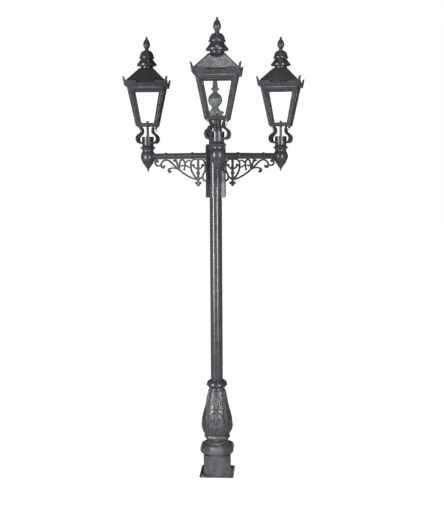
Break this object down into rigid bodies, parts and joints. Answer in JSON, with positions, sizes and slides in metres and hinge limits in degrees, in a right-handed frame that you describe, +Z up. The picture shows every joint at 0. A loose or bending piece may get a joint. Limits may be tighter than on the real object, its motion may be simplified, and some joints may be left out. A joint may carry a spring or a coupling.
{
  "type": "triple head lamp post",
  "caption": "Lamp post with three arms at 120 degrees on scroll brackets, each with a tapered square lantern whose glazed door opens, on a petalled base.",
  "frame": {"origin": "centre of the anchor bolt square on the base plate's underside", "axes": "+Z up the post, X and Y along the plate's sides, with the front arm near -Y"},
  "size_m": [1.7352, 1.6152, 4.158],
  "materials": {
    "casting_paint": "semi-gloss",
    "tube_paint": "semi-gloss",
    "bolt_zinc": "satin",
    "bolt_brassy": "dull",
    "pin_steel": "satin",
    "tray_metal": "satin",
    "lamp_plastic": "matte",
    "pane_glass": "clear"
  },
  "bodies": {
    "post": {"base_plate": "casting_paint", "plinth": "casting_paint", "bud_casting": "casting_paint", "shaft_collar": "casting_paint", "shaft_tube": "tube_paint", "column_cap": "casting_paint", "top_finial": "casting_paint", "head_bolts": "bolt_zinc", "bracket_clips": "casting_paint", "cradle_bolts": "bolt_brassy", "hinge_pins": "pin_steel", "gear_trays": "tray_metal", "lamp_modules": "lamp_plastic", "lantern_conduits": "casting_paint", "front_arm_saddle": "casting_paint", "front_arm_tube": "tube_paint", "front_scroll_bracket": "casting_paint", "front_arm_boss": "casting_paint", "front_pendant": "casting_paint", "front_cradle": "casting_paint", "front_lantern_frame": "casting_paint", "front_fixed_panes": "pane_glass", "front_gallery": "casting_paint", "front_roof": "casting_paint", "front_chimney": "casting_paint", "front_finial": "casting_paint", "left_arm_saddle": "casting_paint", "left_arm_tube": "tube_paint", "left_scroll_bracket": "casting_paint", "left_arm_boss": "casting_paint", "left_pendant": "casting_paint", "left_cradle": "casting_paint", "left_lantern_frame": "casting_paint", "left_fixed_panes": "pane_glass", "left_gallery": "casting_paint", "left_roof": "casting_paint", "left_chimney": "casting_paint", "left_finial": "casting_paint", "right_arm_saddle": "casting_paint", "right_arm_tube": "tube_paint", "right_scroll_bracket": "casting_paint", "right_arm_boss": "casting_paint", "right_pendant": "casting_paint", "right_cradle": "casting_paint", "right_lantern_frame": "casting_paint", "right_fixed_panes": "pane_glass", "right_gallery": "casting_paint", "right_roof": "casting_paint", "right_chimney": "casting_paint", "right_finial": "casting_paint"},
    "front_door": {"front_door": "casting_paint", "front_door_pane": "pane_glass"},
    "front_catch": {"front_door_catch": "casting_paint"},
    "left_door": {"left_door": "casting_paint", "left_door_pane": "pane_glass"},
    "left_catch": {"left_door_catch": "casting_paint"},
    "right_door": {"right_door": "casting_paint", "right_door_pane": "pane_glass"},
    "right_catch": {"right_door_catch": "casting_paint"}
  },
  "joints": [
    {"name": "front_door_hinge", "type": "hinge", "parent": "post", "child": "front_door", "pos_m": [-0.05149, -0.88451, 3.49282], "axis": [0.1911, 0.1911, -0.9628], "range_deg": [0, 100]},
    {"name": "front_catch_turn", "type": "hinge", "parent": "front_door", "child": "front_catch", "pos_m": [0.18404, -0.87862, 3.49399], "axis": [0, -0.9809, -0.1947], "range_deg": [0, 90]},
    {"name": "left_door_hinge", "type": "hinge", "parent": "post", "child": "left_door", "pos_m": [-0.78949, 0.15793, 3.49282], "axis": [0.1826, 0.1992, -0.9628], "range_deg": [0, 100]},
    {"name": "left_catch_turn", "type": "hinge", "parent": "left_door", "child": "left_catch", "pos_m": [-0.55444, 0.17408, 3.49399], "axis": [0.0428, -0.9799, -0.1947], "range_deg": [0, 90]},
    {"name": "right_door_hinge", "type": "hinge", "parent": "post", "child": "right_door", "pos_m": [0.46779, 0.2987, 3.49282], "axis": [0.2115, 0.1682, -0.9628], "range_deg": [0, 100]},
    {"name": "right_catch_turn", "type": "hinge", "parent": "right_door", "child": "right_catch", "pos_m": [0.70247, 0.27788, 3.49399], "axis": [-0.111, -0.9746, -0.1947], "range_deg": [0, 90]}
  ]
}
